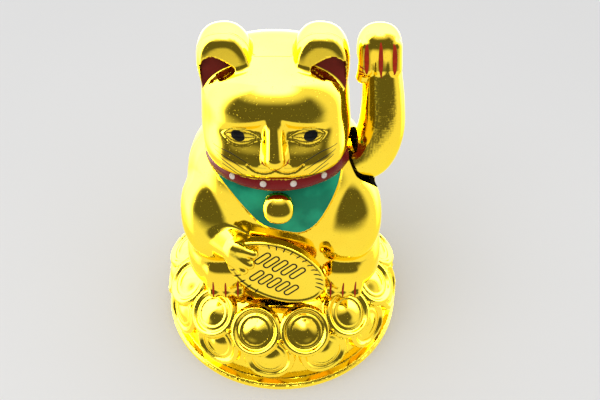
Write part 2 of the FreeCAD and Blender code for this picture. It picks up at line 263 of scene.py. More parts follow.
def ears(q):
    """Domed at the back, cut flat in front, with a recess behind the flat's rim."""
    m = mirrored(q)
    dome = oval(m, (15.5, 5, 117), (9.8, 11.6, 15.3), 2.4, 2.5, frame=turn("y", 6))
    ahead = (m - EAR_FRONT) @ EAR_WAY
    dome = -merge(-dome, -ahead, 1.6)
    hollow = inside(m[..., 0], m[..., 2], EAR_HOLLOW)
    return carve(dome, np.maximum(hollow, -3.0 - ahead), 0.5)


def head(q):
    """Skull and muzzle in one, with the ears and the face."""
    skull = oval(q, (0, 5, 105.5), (25.4, 24.5, 17.6), 2.4, 2.5)
    muzzle = oval(q, (0, -8.0, 97.5), (24.0, 18.0, 10.0), 2.5, 2.2)
    d = merge(skull, muzzle, 7.0)
    return face(q, merge(d, ears(q), 1.4))


# the bib's lower edge in the front view, from one side of the neck to the other
BIB = [(-26, 90), (-22.6, 86.8), (-18.0, 83.3), (-13.4, 78.6), (-6.9, 71.2), (-1.4, 68.6), (2.8, 67.4),
       (7.3, 66.6), (12.4, 69.2), (17.1, 75.6), (21.1, 83.3), (23, 90)]
BIB = smooth_path(BIB, 3) + [(23, 100), (-26, 100)]
COLLAR_TILT = turn("x", -8)
COLLAR_R, COLLAR_T = 22.6, 3.7
COLLAR_AT = (0.0, 1.0, 86.2)
BELL_AT = np.array([0.0, -25.4, 79.6])


def bib_edge(q):
    """Signed distance in the front view to the bib's lower edge, negative on the bib."""
    x, z = q[..., 0], q[..., 2]
    return inside(x, z, BIB)


def bib(q, d):
    """Raise the bib from the chest, with a rounded hem."""
    edge = bib_edge(q)
    front = 1 - step(-4, 0, q[..., 1])
    return d - (0.5 * step(0.3, -0.5, edge) + 0.45 * bump(edge, 0.75)) * front


def bell_field(q):
    """The round bell that hangs from the collar."""
    return oval(q, BELL_AT, (5.3, 3.4, 5.3), 2.4, 2.2, frame=turn("x", -38))


def cat_field(p):
    """The whole cat without its raised arm, with a fine groove where the two shells meet."""
    q = upright(p)
    d = bib(q, torso(q))
    d = merge(d, forearm(q), 1.2)
    d = merge(d, foot(q), 0.9)
    collar = ring(q, COLLAR_AT, COLLAR_R, COLLAR_T, COLLAR_TILT)
    d = merge(d, collar, 0.4)
    bell = bell_field(q)
    d = merge(d, bell, 0.3)
    d = merge(d, head(q), 0.5)
    return d + 0.2 * bump(p[..., 1] - SEAM_Y, 0.65)


# ---------------------------------------------------------------- from a shape to a mesh
class Skin:
    """Triangles on a surface: points (millimetres), triangles and a material number for each."""

    def __init__(self, points, tris, mats=None):
        self.points = points
        self.tris = tris
        self.mats = np.zeros(len(tris), int) if mats is None else mats


def gradient(field, p, reach=0.02):
    """The field's slope at each point, from four samples round it."""
    total = np.zeros(p.shape)
    for corner in ((1, -1, -1), (-1, -1, 1), (-1, 1, -1), (1, 1, 1)):
        way = np.array(corner, float)
        total += way * field(p + reach * way)[:, None]
    return total / (4 * reach)


def settle(field, p, rounds=3, limit=0.8):
    """Move points on to the surface where the field is zero."""
    for _ in range(rounds):
        g = gradient(field, p)
        value = field(p)
        move = -value / np.maximum((g * g).sum(1), 0.2)
        p = p + np.clip(move, -limit, limit)[:, None] * g
    return p


def unit(v):
    return v / np.maximum(np.linalg.norm(v, axis=-1, keepdims=True), 1e-12)


def surface_net(field, low, high, cell):
    """A first closed skin round the part of the field below zero, from a grid of cubes."""
    axes = [np.arange(low[i], high[i] + cell, cell) for i in range(3)]
    shape = [len(a) for a in axes]
    value = np.empty(shape)
    for i, x in enumerate(axes[0]):
        y, z = np.meshgrid(axes[1], axes[2], indexing="ij")
        value[i] = field(np.stack([np.full(y.shape, x), y, z], -1))
    inner = value < 0
    n = [s - 1 for s in shape]
    corner = {}
    for dx in (0, 1):
        for dy in (0, 1):
            for dz in (0, 1):
                corner[dx, dy, dz] = (slice(dx, dx + n[0]), slice(dy, dy + n[1]), slice(dz, dz + n[2]))
    count = sum(inner[c].astype(np.int8) for c in corner.values())
    straddling = (count > 0) & (count < 8)
    number = np.full(n, -1)
    number[straddling] = np.arange(straddling.sum())
    cells = np.argwhere(straddling)
    centre = np.zeros((len(cells), 3))
    hits = np.zeros(len(cells))
    for a in corner:
        for k in range(3):
            if a[k]:
                continue
            b = tuple(1 if i == k else a[i] for i in range(3))
            va, vb = value[corner[a]][straddling], value[corner[b]][straddling]
            cross = (va < 0) != (vb < 0)
            t = np.where(cross, va / np.where(va == vb, 1, va - vb), 0)
            spot = np.tile(np.array(a, float), (len(cells), 1))
            spot[:, k] += t
            centre += np.where(cross[:, None], spot, 0)
            hits += cross
    points = np.array(low, float) + cell * (cells + centre / hits[:, None])
    tris = []
    for k in range(3):
        u, v = (k + 1) % 3, (k + 2) % 3
        first = tuple(slice(0, -1) if i == k else slice(1, -1) for i in range(3))
        second = tuple(slice(1, None) if i == k else slice(1, -1) for i in range(3))
        flips = inner[first] != inner[second]
        at = np.argwhere(flips)
        at[:, u] += 1
        at[:, v] += 1
        starts = inner[tuple(at.T)]
        around = []
        for du, dv in ((-1, -1), (0, -1), (0, 0), (-1, 0)):
            c = at.copy()
            c[:, u] += du
            c[:, v] += dv
            around.append(number[tuple(c.T)])
        quad = np.stack(around, 1)
        quad = np.where(starts[:, None], quad, quad[:, ::-1])
        tris += [quad[:, [0, 1, 2]], quad[:, [0, 2, 3]]]
    return Skin(points, np.concatenate(tris))


def edges_of(tris):
    """Each edge once, and the number of every triangle's three edges."""
    pairs = np.sort(np.concatenate([tris[:, [0, 1]], tris[:, [1, 2]], tris[:, [2, 0]]]), axis=1)
    key = pairs[:, 0] * (pairs.max() + 1) + pairs[:, 1]
    _, first, back = np.unique(key, return_index=True, return_inverse=True)
    return pairs[first], back.reshape(3, -1).T


def split_edges(skin, edges, of_tri, chosen, new_points):
    """Cut the chosen edges at new points and rebuild the triangles beside them."""
    fresh = np.full(len(edges), -1)
    fresh[chosen] = len(skin.points) + np.arange(chosen.sum())
    points = np.concatenate([skin.points, new_points])
    mid = fresh[of_tri]
    marks = (mid >= 0).sum(1)
    tris, mats = [skin.tris[marks == 0]], [skin.mats[marks == 0]]

    def add(rows, *faces):
        for face in faces:
            tris.append(np.stack(face, 1))
            mats.append(skin.mats[rows])

    for turned in range(3):
        order = [(turned + i) % 3 for i in range(3)]
        a, b, c = (skin.tris[:, i] for i in order)
        ab, bc, ca = (mid[:, i] for i in order)
        one = (marks == 1) & (ab >= 0)
        add(one, (a[one], ab[one], c[one]), (ab[one], b[one], c[one]))
        two = (marks == 2) & (bc < 0)
        add(two, (a[two], ab[two], ca[two]), (ab[two], b[two], c[two]), (ab[two], c[two], ca[two]))
    three = marks == 3
    a, b, c = skin.tris[three].T
    ab, bc, ca = mid[three].T
    add(three, (a, ab, ca), (ab, b, bc), (ca, bc, c), (ab, bc, ca))
    return Skin(points, np.concatenate(tris), np.concatenate(mats))


def refine(skin, field, size, rounds):
    """Split edges longer than size(point) and put the new points on the surface."""
    for _ in range(rounds):
        edges, of_tri = edges_of(skin.tris)
        a, b = skin.points[edges[:, 0]], skin.points[edges[:, 1]]
        middle = (a + b) / 2
        chosen = np.linalg.norm(a - b, axis=1) > size(middle)
        if not chosen.any():
            break
        skin = split_edges(skin, edges, of_tri, chosen, settle(field, middle[chosen], 2, 0.4))
    return skin


def cut(skin, line, field=None):
    """Cut the skin along line(points) = 0, so that every triangle lies on one side."""
    value = line(skin.points)
    edges, of_tri = edges_of(skin.tris)
    va, vb = value[edges[:, 0]], value[edges[:, 1]]
    t = va / np.where(va == vb, 1, va - vb)
    cross = (va * vb < 0) & (np.minimum(abs(va), abs(vb)) > 1e-6)
    near = 0.12
    snap = cross & (t < near)
    value[edges[snap, 0]] = 0
    snap = cross & (t > 1 - near)
    value[edges[snap, 1]] = 0
    cross = value[edges[:, 0]] * value[edges[:, 1]] < 0
    a, b = skin.points[edges[cross, 0]], skin.points[edges[cross, 1]]
    t = t[cross][:, None]
    spot = a + (b - a) * t
    if field is not None:
        spot = settle(field, spot, 1, 0.1)
    return split_edges(skin, edges, of_tri, cross, spot)


def centres(skin):
    return skin.points[skin.tris].mean(1)


def keep(skin, wanted):
    """Only the wanted triangles, and the points that they use."""
    tris, mats = skin.tris[wanted], skin.mats[wanted]
    used, back = np.unique(tris, return_inverse=True)
    return Skin(skin.points[used], back.reshape(-1, 3), mats)


def walled(skin, normals, thick, inner_mat, rim_mat):
    """Give an open skin an inner wall and close its edges. Returns points, faces, mats, normals."""
    count = len(skin.points)
    points = np.concatenate([skin.points, skin.points - normals * thick])
    inner = skin.tris[:, ::-1] + count
    directed = np.concatenate([skin.tris[:, [0, 1]], skin.tris[:, [1, 2]], skin.tris[:, [2, 0]]])
    big = count + 1
    key = directed[:, 0] * big + directed[:, 1]
    alone = ~np.isin(key, directed[:, 1] * big + directed[:, 0])
    a, b = directed[alone].T
    rim = np.concatenate([np.stack([b, a, a + count], 1), np.stack([b, a + count, b + count], 1)])
    tris = np.concatenate([skin.tris, inner, rim])
    mats = np.concatenate([skin.mats, np.full(len(inner), inner_mat), np.full(len(rim), rim_mat)])
    corner = np.concatenate([normals[skin.tris], -normals[skin.tris[:, ::-1]]])
    side = points[rim]
    flat = unit(np.cross(side[:, 1] - side[:, 0], side[:, 2] - side[:, 0]))
    corner = np.concatenate([corner, np.repeat(flat[:, None], 3, 1)])
    return points, tris, mats, corner


def make_piece(name, points, tris, mats, corner_normals, materials, body):
    """A Blender object from triangles in millimetres, riding on a body."""
    mesh = bpy.data.meshes.new(name)
    mesh.vertices.add(len(points))
    mesh.vertices.foreach_set("co", (points / 1000).astype(np.float32).ravel())
    mesh.loops.add(3 * len(tris))
    mesh.loops.foreach_set("vertex_index", tris.astype(np.int32).ravel())
    mesh.polygons.add(len(tris))
    mesh.polygons.foreach_set("loop_start", np.arange(0, 3 * len(tris), 3, dtype=np.int32))
    mesh.polygons.foreach_set("loop_total", np.full(len(tris), 3, dtype=np.int32))
    mesh.polygons.foreach_set("material_index", mats.astype(np.int32))
    mesh.update(calc_edges=True)
    for material in materials:
        mesh.materials.append(material)
    mesh.shade_smooth()
    if corner_normals is not None:
        mesh.normals_split_custom_set(corner_normals.reshape(-1, 3).tolist())
    piece = bpy.data.objects.new(name, mesh)
    bpy.context.scene.collection.objects.link(piece)
    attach(piece, body)
    return piece


# ---------------------------------------------------------------- the pedestal's shape
BASE_R = 1000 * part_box("pedestal")[1].x
EDGE_CLEAR = 0.02
RIM_H, DRUM_R, DRUM_Z, DRUM_H, DECK_Z = 2.6, 43.6, 9.0, 24.5, 31.0
COINS = 13
COIN_R = 9.7
# rows of coins: radius of the circle they lie on, height, how far they look up, turn of the row
COIN_ROWS = [(43.3, 17.0, 18.0, -5.5), (38.3, 25.0, 50.0, -13.85)]


def drum(p):
    """The pedestal's bulging wall and flat deck."""
    r = np.hypot(p[..., 0], p[..., 1])
    rise = np.maximum(p[..., 2] - DRUM_Z, 0) / DRUM_H
    reach = ((r / DRUM_R) ** 3 + rise ** 3) ** (1 / 3)
    slope = np.hypot((r / DRUM_R) ** 2 / DRUM_R, rise ** 2 / DRUM_H) / np.maximum(reach, 0.1) ** 2
    bulge = (reach - 1) / np.maximum(slope, 0.008)
    return -merge(-bulge, DECK_Z - p[..., 2], 0.8)


def coin(p, centre, frame):
    """An embossed coin: a disc with an outer ring, an inner ring and a domed middle."""
    q = (p - centre) @ frame
    rho, h = np.hypot(q[..., 0], q[..., 1]), q[..., 2]
    relief = 1.0 * bump(rho - 8.4, 1.5) + 0.35 * bump(rho - 5.8, 1.0) + 1.7 * bump(rho, 6.2)
    disc = np.maximum(np.maximum(rho - COIN_R, h - 0.7 - relief), -h - 3)
    return disc, np.maximum(rho - COIN_R - 0.4, 0.2 - h)


def pedestal(p):
    """The drum with its rim and two rows of embossed coins."""
    d = drum(p)
    rim = np.maximum(np.hypot(p[..., 0], p[..., 1]) - BASE_R, p[..., 2] - RIM_H)
    edge = np.hypot(np.hypot(p[..., 0], p[..., 1]) - BASE_R, p[..., 2] - RIM_H)
    rim = np.maximum(rim, 0.7 - edge)
    for circle, height, tilt, phase in COIN_ROWS:
        around = np.degrees(np.arctan2(p[..., 0], -p[..., 1])) - phase
        pitch = 360 / COINS
        nearest = np.round(around / pitch)
        wanted = (np.abs(np.hypot(p[..., 0], p[..., 1]) - circle) < 13) & (np.abs(p[..., 2] - height) < 12)
        found = np.full(d[wanted].shape, 9.0)
        above = np.full(d[wanted].shape, 9.0)
        near = p[wanted]
        for beside in (-1, 0, 1):
            a = np.radians((nearest[wanted] + beside) * pitch + phase)
            c, s = np.cos(a), np.sin(a)
            # the point turned to the front of the pedestal
            x, y = near[:, 0] * c + near[:, 1] * s, near[:, 1] * c - near[:, 0] * s
            flat = np.stack([x, y, near[:, 2]], -1)
            disc, clear = coin(flat, np.array([0, -circle, height]), turn("x", 90 - tilt))
            found, above = np.minimum(found, disc), np.minimum(above, clear)
        d[wanted] = merge(np.maximum(d[wanted], -above), found, 0.5)
    return np.maximum(merge(d, rim, 0.15), np.hypot(p[..., 0], p[..., 1]) - BASE_R + EDGE_CLEAR)


# ---------------------------------------------------------------- the raised arm's shape
PIVOT_Z = 500 * (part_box("pivot_axle")[0].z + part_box("pivot_axle")[1].z)
ELBOW = np.array([36.0, 0.0, PIVOT_Z])
ARM_WAY = np.array([-0.035, math.sin(math.radians(15)), math.cos(math.radians(15))])
ARM_SIDE = np.array([1.0, 0.0, 0.0])
ARM_FRONT = np.cross(ARM_SIDE, ARM_WAY)


def on_arm(x, forward, along):
    """A point beside the arm: sideways from the elbow, towards the front, and up the forearm."""
    return ELBOW + ARM_SIDE * x + ARM_FRONT * forward + ARM_WAY * along


# the arm's bend: places on its middle line, each with the arm's radius there
ARM_LINE = smooth_path([(26.5, -0.5, 79.6, 8.4), (32.3, -0.8, 83.0, 8.7), (35.8, 1.0, 91.5, 8.3),
                        (36.3, 4.3, 102, 7.5), (35.4, 8.6, 113.4, 6.7)], 14)
FINGERS = (-4.7, 0.0, 4.7)


def raised_arm(p):
    """Root on the axle, a bent arm, and a paw with three fingers and a thumb."""
    arm = np.maximum(limb(p, (22, 0, PIVOT_Z), (28, 0, PIVOT_Z), 8.2, 8.2), 24.0 - p[..., 0])
    line = np.full(arm.shape, 9.0)
    for start, end in zip(ARM_LINE, ARM_LINE[1:]):
        line = np.minimum(line, limb(p, start[:3], end[:3], start[3], end[3]))
    arm = merge(arm, line, 1.5)
    arm = merge(arm, oval(p, on_arm(-0.3, -0.3, 41.6), (7.6, 7.0, 8.8), 2.3, 2.4), 2.0)
    for x in FINGERS:
        arm = merge(arm, limb(p, on_arm(x - 0.3, 4.6, 36.2), on_arm(x - 0.3, 4.2, 44.0), 2.7, 2.6), 0.7)
    return merge(arm, limb(p, on_arm(-6.2, 3.0, 32.5), on_arm(-5.6, 4.5, 37.0), 2.2, 2.0), 0.8)


# ---------------------------------------------------------------- the oval coin's shape
PLATE_AT = np.array([-1.0, -30.0, 52.0])
PLATE_FRAME = turn("x", -13) @ turn("y", 28)
PLATE_LONG, PLATE_SHORT = 19.0, 11.9


def plate_uvw(p):
    """Along the oval coin, out of its face, and across it."""
    q = (p - PLATE_AT) @ PLATE_FRAME
    return q[..., 0], -q[..., 1], q[..., 2]


def plate_edge(u, v):
    """Signed distance to the oval coin's outline, in its own plane."""
    g = np.hypot(u / PLATE_LONG, v / PLATE_SHORT) + 1e-9
    return (g - 1) * g / np.hypot(u / PLATE_LONG ** 2, v / PLATE_SHORT ** 2 + 1e-9)


def oval_coin(p):
    """The oval coin: a flat plate with a raised border."""
    u, w, v = plate_uvw(p)
    edge = plate_edge(u, v)
    top = 1.8 + 0.35 * bump(edge + 1.0, 0.9)
    return -merge(-edge, np.minimum(top - w, w + 2.4), 0.8)


# ---------------------------------------------------------------- building the skins
PLASTIC_WALL = 1.6
SHOULDER_R = 11.0


def face_size(p):
    """How long a triangle's edges may be: short on the face and along the parting groove."""
    q = upright(p)
    front = (q[:, 1] < 0)
    size = np.full(len(p), 1.9)
    size = np.where(abs(p[:, 1] - SEAM_Y) < 1.1, 0.6, size)
    onhead = front & (q[:, 2] > 93) & (q[:, 2] < 126)
    size = np.where(front, 1.4, size)
    size = np.where(front & (q[:, 2] > 66), 1.15, size)
    return np.where(onhead, 0.68, size)


def collar_field(q):
    return ring(q, COLLAR_AT, COLLAR_R, COLLAR_T, COLLAR_TILT)


def zone_collar(p):
    q = upright(p)
    return np.maximum(np.maximum(collar_field(q) - 0.25, 0.15 - head(q)), 0.2 - bell_field(q))


def zone_bib(p):
    q = upright(p)
    away = np.maximum(0.3 - head(q), np.maximum(0.3 - collar_field(q), 0.25 - bell_field(q)))
    return np.maximum(np.maximum(bib_edge(q) + 0.35, away), q[..., 1] + 1)


def zone_ear(p):
    q = upright(p)
    m = mirrored(q)
    depth = (m - EAR_FRONT) @ EAR_WAY + 1.0
    hollow = inside(m[..., 0], m[..., 2], EAR_HOLLOW) - 0.3
    return np.maximum(np.maximum(hollow, np.maximum(depth, q[..., 1] - 2.6)), ears(q) - 0.3)


def zone_pupil(p):
    q = upright(p)
    s, z = np.abs(q[..., 0]), q[..., 2]
    return np.maximum((np.hypot((s - 11.9) / 2.3, (z - 106.6) / 1.5) - 1) * 1.5, q[..., 1] + 1)


def skin_of(field, low, high, cell, size, rounds):
    """The skin of a field inside a box, with edges as short as size(point) asks."""
    skin = surface_net(field, low, high, cell)
    skin = Skin(settle(field, skin.points, 4, 1.0), skin.tris, skin.mats)
    return refine(skin, field, size, rounds)


def painted(skin, field, zones):
    """Cut the skin along the edge of each painted zone and number the triangles by zone."""
    for zone in zones:
        skin = cut(skin, zone, field)
    middle = centres(skin)
    for number, zone in enumerate(zones, 1):
        skin.mats[zone(middle) < 0] = number
    return skin


def finish_shell(name, skin, field, materials, body, thick=PLASTIC_WALL):
    """Make a shell of a skin, thinner where its two sides come close together."""
    normals = unit(gradient(field, skin.points))
    depth = np.full((len(skin.points), 1), thick)
    for thinner in (0.8, 0.4, 0.15):
        shallow = field(skin.points - normals * depth) > -0.7 * depth[:, 0]
        depth[shallow] = thinner
    inner = len(materials) - 1
    return make_piece(name, *walled(skin, normals, depth, inner, inner), materials, body)


def lathe(profile, steps=128):
    """Points and triangles of a profile of (radius, height) turned about the upright axis."""
    a = np.arange(steps) * 2 * math.pi / steps
    prof = np.asarray(profile, float)
    points = np.stack([prof[:, None, 0] * np.cos(a), prof[:, None, 0] * np.sin(a),
                       np.repeat(prof[:, None, 1], steps, 1)], -1).reshape(-1, 3)
    tris = []
    for k in range(len(prof) - 1):
        i = np.arange(steps)
        j = (i + 1) % steps
        lo, hi = k * steps, (k + 1) * steps
        tris += [np.stack([lo + i, lo + j, hi + j], 1), np.stack([lo + i, hi + j, hi + i], 1)]
    return points, np.concatenate(tris)


def row_of(points, steps):
    """Points evenly along a bent line, and how far along each lies, from 0 to 1."""
    pts = np.asarray(points, float)
    gone = np.concatenate([[0], np.cumsum(np.linalg.norm(np.diff(pts, axis=0), axis=1))])
    t = np.linspace(0, gone[-1], steps)
    return np.stack([np.interp(t, gone, pts[:, k]) for k in range(pts.shape[1])], 1), t / gone[-1]


def brush(field, points, widths, lift=0.05):
    """A thin raised stroke of paint along points on the surface of a field: a closed, flat tube."""
    p = settle(field, points, 4, 1.0)
    normal = unit(gradient(field, p))
    along = unit(np.gradient(p, axis=0))
    side = unit(np.cross(normal, along)) * np.asarray(widths)[:, None]
    rows = [p - side - normal * 0.1, p + side - normal * 0.1, p + side * 0.75 + normal * lift,
            p - side * 0.75 + normal * lift]
    count = len(p)
    spots = np.stack(rows, 1).reshape(-1, 3)
    i = 4 * np.arange(count - 1)
    tris = []
    for k in range(4):
        a, b = i + k, i + (k + 1) % 4
        tris += [np.stack([a, a + 4, b], 1), np.stack([b, a + 4, b + 4], 1)]
    end = 4 * (count - 1)
    tris.append(np.array([[0, 1, 2], [0, 2, 3], [end, end + 2, end + 1], [end, end + 3, end + 2]]))
    return spots, np.concatenate(tris)


def gathered(parts):
    """Several meshes as one."""
    spots, tris, start = [], [], 0
    for p, t in parts:
        spots.append(p)
        tris.append(t + start)
        start += len(p)
    return np.concatenate(spots), np.concatenate(tris)


def on_front(field, x, z, start=-45.0):
    """Where lines running back from the front at (x, z) meet the surface."""
    p = np.stack([x, np.full(len(x), start), z], 1)
    for _ in range(80):
        p[:, 1] += np.clip(field(p), -1, 3) * 0.6
    return p


def tapered(t, wide, thin=0.3):
    """Stroke width: full in the middle part and narrow at its ends."""
    return wide * (thin + (1 - thin) * np.sin(math.pi * np.clip(t, 0.02, 0.98)) ** 0.6)


def dome(centre, normal, radius, height, steps=20):
    """A low round cap on a surface."""
    up = unit(np.asarray(normal, float))
    side = unit(np.cross(up, np.array([0.3, 0.1, 1.0])))
    frame = np.stack([side, np.cross(up, side), up], 1)
    profile = [(radius * math.cos(a), height * math.sin(a)) for a in np.linspace(-0.5, math.pi / 2 - 0.02, 9)]
    points, tris = lathe(profile, steps)
    return points @ frame.T + centre, tris


# ---------------------------------------------------------------- materials
def calc(tree, kind, *values, clamp=False):
    """A Math node on numbers or sockets; returns its output."""
    node = tree.nodes.new("ShaderNodeMath")
    node.operation = kind
    node.use_clamp = clamp
    for slot, value in zip(node.inputs, values):
        if isinstance(value, bpy.types.NodeSocket):
            tree.links.new(value, slot)
        else:
            slot.default_value = value
    return node.outputs[0]


def span(tree, value, low, high, start=0.0, end=1.0):
    """Smooth change from start to end as value goes from low to high."""
    node = tree.nodes.new("ShaderNodeMapRange")
    node.interpolation_type = "SMOOTHSTEP"
    tree.links.new(value, node.inputs["Value"])
    for name, number in (("From Min", low), ("From Max", high), ("To Min", start), ("To Max", end)):
        node.inputs[name].default_value = number
    return node.outputs["Result"]


def mixed(tree, factor, a, b):
    """A colour between a and b; either may be a colour or a socket."""
    node = tree.nodes.new("ShaderNodeMix")
    node.data_type = "RGBA"
    for index, value in ((0, factor), (6, a), (7, b)):
        if isinstance(value, bpy.types.NodeSocket):
            tree.links.new(value, node.inputs[index])
        elif index:
            node.inputs[index].default_value = (*value, 1)
        else:
            node.inputs[index].default_value = value
    return node.outputs[2]


def noise(tree, size, detail=3.0, rough=0.5):
    """Noise whose lumps are about size millimetres across."""
    coords = tree.nodes.new("ShaderNodeTexCoord")
    node = tree.nodes.new("ShaderNodeTexNoise")
    node.inputs["Scale"].default_value = 1000 / size
    node.inputs["Detail"].default_value = detail
    node.inputs["Roughness"].default_value = rough
    tree.links.new(coords.outputs["Object"], node.inputs["Vector"])
    return node.outputs["Fac"]


def finish_of(name, colour, other, size, rough, metallic=0.0, relief=0.1, grain=0.5, specks=0.0):
    """A surface whose colour drifts between two tones, with uneven gloss, fine grain and dull specks."""
    material = bpy.data.materials.new(name)
    material.use_nodes = True
    tree = material.node_tree
    shader = tree.nodes["Principled BSDF"]
    drift = noise(tree, size, 3.0)
    fine = noise(tree, grain, 4.0, 0.6)
    tone = mixed(tree, span(tree, drift, 0.35, 0.65), colour, other)
    tree.links.new(tone, shader.inputs["Base Color"])
    shader.inputs["Metallic"].default_value = metallic
    shader.inputs["Specular Tint"].default_value = (1.0, 1.0, 0.5, 1)
    shader.inputs["Specular IOR Level"].default_value = 0.5 if metallic else 0.12
    gloss = span(tree, fine, 0.3, 0.75, rough * 0.8, rough * 1.25)
    if specks:
        gloss = calc(tree, "MAXIMUM", gloss, span(tree, noise(tree, 0.55, 1.0), 0.66, 0.74, 0.0, specks))
    tree.links.new(gloss, shader.inputs["Roughness"])
    bump_node = tree.nodes.new("ShaderNodeBump")
    bump_node.inputs["Strength"].default_value = relief
    bump_node.inputs["Distance"].default_value = 0.00005
    tree.links.new(fine, bump_node.inputs["Height"])
    tree.links.new(bump_node.outputs["Normal"], shader.inputs["Normal"])
    return material


gold = finish_of("gold_plating", (1.0, 0.74, 0.05), (1.0, 0.70, 0.045), 14, 0.08,
                 metallic=1.0, relief=0.06, grain=1.2, specks=0.45)
# green lacquer on the bib; its darker blotches, placed at random, are painted reflection standing in for the
# lacquer's gloss
green = finish_of("green_lacquer_painted_reflection", (0.02, 0.38, 0.20), (0.008, 0.20, 0.11), 12, 0.22, relief=0.15)
maroon = finish_of("maroon_enamel", (0.17, 0.008, 0.012), (0.22, 0.012, 0.016), 7, 0.28, relief=0.15)
ear_red = finish_of("ear_red", (0.17, 0.014, 0.012), (0.12, 0.009, 0.008), 8, 0.4, relief=0.15)
black_paint = finish_of("black_paint", (0.006, 0.006, 0.008), (0.012, 0.012, 0.016), 3, 0.2)
white_paint = finish_of("white_paint", (0.75, 0.68, 0.62), (0.62, 0.55, 0.50), 2, 0.35)
red_paint = finish_of("claw_red", (0.42, 0.025, 0.008), (0.32, 0.02, 0.008), 2, 0.4)
raw_plastic = finish_of("raw_plastic", (0.02, 0.018, 0.015), (0.014, 0.012, 0.01), 5, 0.5, relief=0.3)
raw_plastic.node_tree.nodes["Principled BSDF"].inputs["Specular IOR Level"].default_value = 0
black_abs = finish_of("black_abs", (0.012, 0.012, 0.013), (0.02, 0.02, 0.021), 6, 0.45,
                      relief=0.6, grain=0.35)

# ---------------------------------------------------------------- the cat's shells
cat = skin_of(cat_field, (-46, -44, 14), (46, 40, 140), 1.5, face_size, 5)
cat = painted(cat, cat_field, [zone_bib, zone_collar, zone_ear, zone_pupil])
cat = cut(cat, drum, cat_field)
cat = cut(cat, lambda p: p[:, 1] - SEAM_Y, cat_field)


def shoulder_hole(p):
    return np.maximum(np.hypot(p[:, 1], p[:, 2] - PIVOT_Z) - SHOULDER_R, 20 - p[:, 0])


cat = cut(cat, shoulder_hole, cat_field)
middle = centres(cat)
cat = keep(cat, (drum(middle) > 0) & (shoulder_hole(middle) > 0))
middle = centres(cat)
shell_materials = [gold, green, maroon, ear_red, black_paint, raw_plastic]
front = finish_shell("front_skin", keep(cat, middle[:, 1] < SEAM_Y), cat_field, shell_materials, "root")
rear = finish_shell("rear_skin", keep(cat, middle[:, 1] > SEAM_Y), cat_field, shell_materials, "root")
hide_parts("front_shell")
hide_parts("rear_shell")

# ---------------------------------------------------------------- the pedestal
def pedestal_size(p):
    outer = np.hypot(p[:, 0], p[:, 1]) > 30
    return np.where(outer & (p[:, 1] < 8), 0.8, np.where(outer, 1.1, 1.9))


base = skin_of(pedestal, (-50, -50, -4), (50, 50, 35), 1.25, pedestal_size, 3)


def below(p):
    return p[:, 2]


def lever_slot(p):
    return np.maximum(np.maximum(abs(p[:, 0] - 12) - 3.5, abs(p[:, 1]) - 20.5), 20 - p[:, 2])


base = cut(cut(base, below), lever_slot)
middle = centres(base)
base = keep(base, (middle[:, 2] > 0) & (lever_slot(middle) > 0))
normals = unit(gradient(pedestal, base.points))
flat = base.points[:, 2] < 1e-4
base.points[flat, 2] = 0
pedestal_skin = make_piece("pedestal_skin", base.points, base.tris, base.mats, normals[base.tris],
                           [gold], "root")
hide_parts("pedestal")
LINING = [(BASE_R - EDGE_CLEAR, 0), (43.5, 0), (43.5, 2.7), (41.5, 3.0), (41.5, 9), (39.5, 17),
          (35, 23), (28, 26)]
lining, lining_tris = lathe(LINING)
lining_mats = np.zeros(len(lining_tris), int)
pedestal_lining = make_piece("pedestal_lining", lining, lining_tris, lining_mats, None, [raw_plastic], "root")
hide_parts("pedestal")

# ---------------------------------------------------------------- the raised arm
arm = skin_of(raised_arm, (18, -22, 66), (50, 30, 140), 1.5, lambda p: np.full(len(p), 0.9), 3)


def arm_parting(p):
    return (p - ELBOW) @ ARM_FRONT


arm = cut(arm, arm_parting, raised_arm)
side = arm_parting(centres(arm))
arm_materials = [gold, raw_plastic]
arm_front = finish_shell("arm_front_skin", keep(arm, side > 0), raised_arm, arm_materials, "arm", 1.2)
arm_rear = finish_shell("arm_rear_skin", keep(arm, side < 0), raised_arm, arm_materials, "arm", 1.2)
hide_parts("arm_front_half")
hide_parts("arm_rear_half")

# ---------------------------------------------------------------- the oval coin
plate = skin_of(oval_coin, (-20, -46, 32), (24, -14, 72), 1.0, lambda p: np.full(len(p), 0.5), 3)
normals = unit(gradient(oval_coin, plate.points))
coin_skin = make_piece("oval_coin", plate.points, plate.tris, plate.mats, normals[plate.tris], [gold], "root")
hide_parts("front_shell")


def on_cat(points, steps):
    """Points along a line drawn in the cat's front view, laid on its skin, and how far along each lies."""
    xz, t = row_of(points, steps)
    return on_front(cat_field, xz[:, 0] + leaning(xz[:, 1]), xz[:, 1]), t


def stroke(name, parts, material, body):
    """One piece made of several painted strokes or caps."""
    points, tris = gathered(parts)
    mats = np.zeros(len(tris), int)
    piece = make_piece(name, points, tris, mats, None, [material], body)
    return piece


# whiskers: lines in the front view of the face, mirrored to the other side
WHISKERS = [[(-20.6, 102.2), (-15.8, 102.3), (-11.8, 101.3), (-7.9, 99.6)],
            [(-20.0, 101.2), (-14.6, 100.2), (-9.4, 97.6)],
            [(-19.3, 100.2), (-15.0, 98.4), (-11.0, 95.4)],
            [(-17.6, 98.0), (-14.6, 96.6), (-11.6, 93.9)]]
lines = []
for flip in (1, -1):
    for path in WHISKERS:
        spots, t = on_cat([(flip * x, z) for x, z in smooth_path(path, 6)], 40)
        lines.append(brush(cat_field, spots, tapered(t, 0.16, 0.4)))
stroke("whiskers", lines, black_paint, "root")

